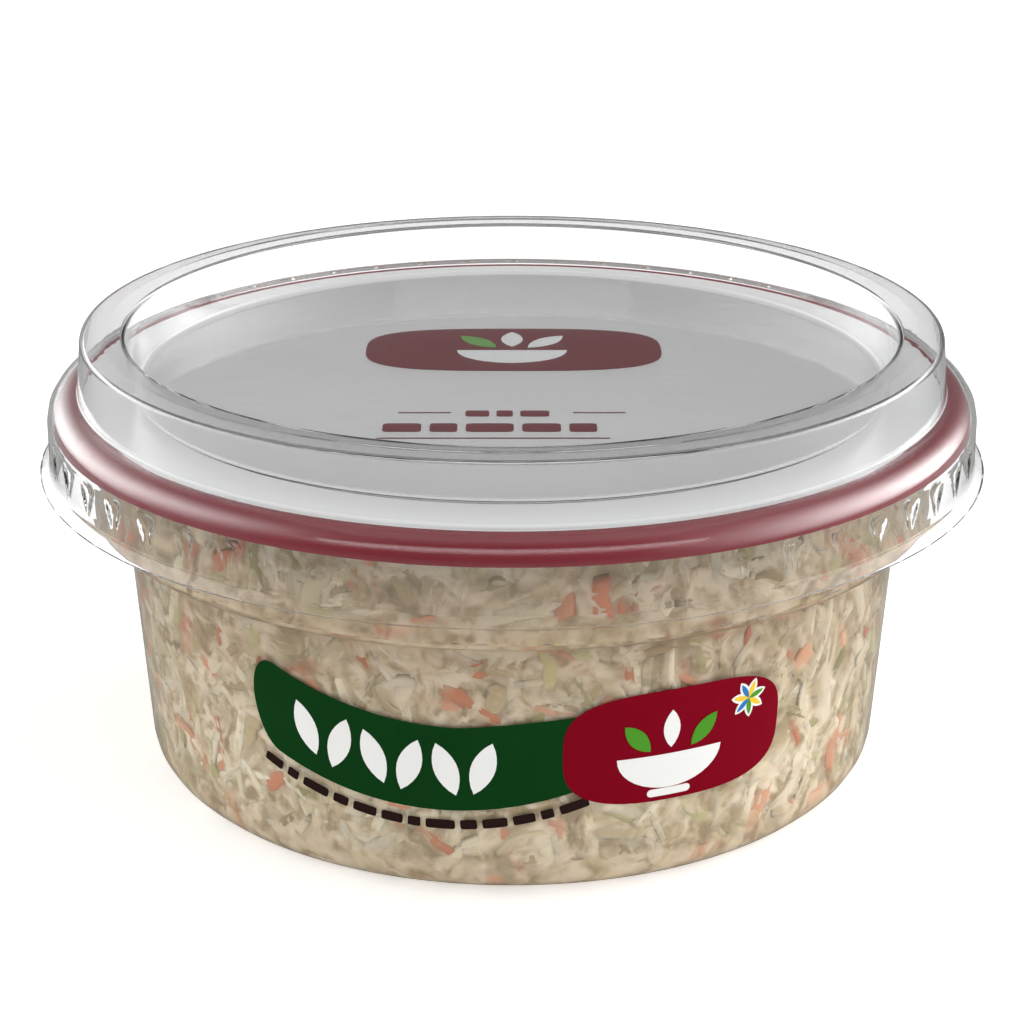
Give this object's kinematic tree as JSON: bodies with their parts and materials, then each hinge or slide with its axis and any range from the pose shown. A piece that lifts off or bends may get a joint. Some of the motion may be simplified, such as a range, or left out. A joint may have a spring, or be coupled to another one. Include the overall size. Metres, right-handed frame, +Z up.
{
  "type": "coleslaw",
  "caption": "Creamy coleslaw of shredded cabbage and carrot in a clear round tub, with a printed seal film and a clear press-on lid with a stacking ring.",
  "frame": {"origin": "centre of the tub's flat base, on the surface that it stands on", "axes": "+Z up along the tub's axis; the printed front faces -Y; +X to the right seen from the front"},
  "size_m": [0.108, 0.108, 0.051],
  "materials": {
    "clear_tub": "clear glossy moulded plastic, very slightly grey, with opaque printed fields on its front",
    "coleslaw": "moist creamy dressing over pale green-white cabbage shreds and muted orange carrot shreds",
    "seal_film": "glossy film, white in the middle with a dark red ring and rim",
    "clear_lid": "thin clear glossy formed plastic, crisp bright edges"
  },
  "bodies": {
    "root": {"tub": "clear_tub", "coleslaw": "coleslaw", "seal_film": "seal_film", "lid": "clear_lid"}
  },
  "joints": []
}
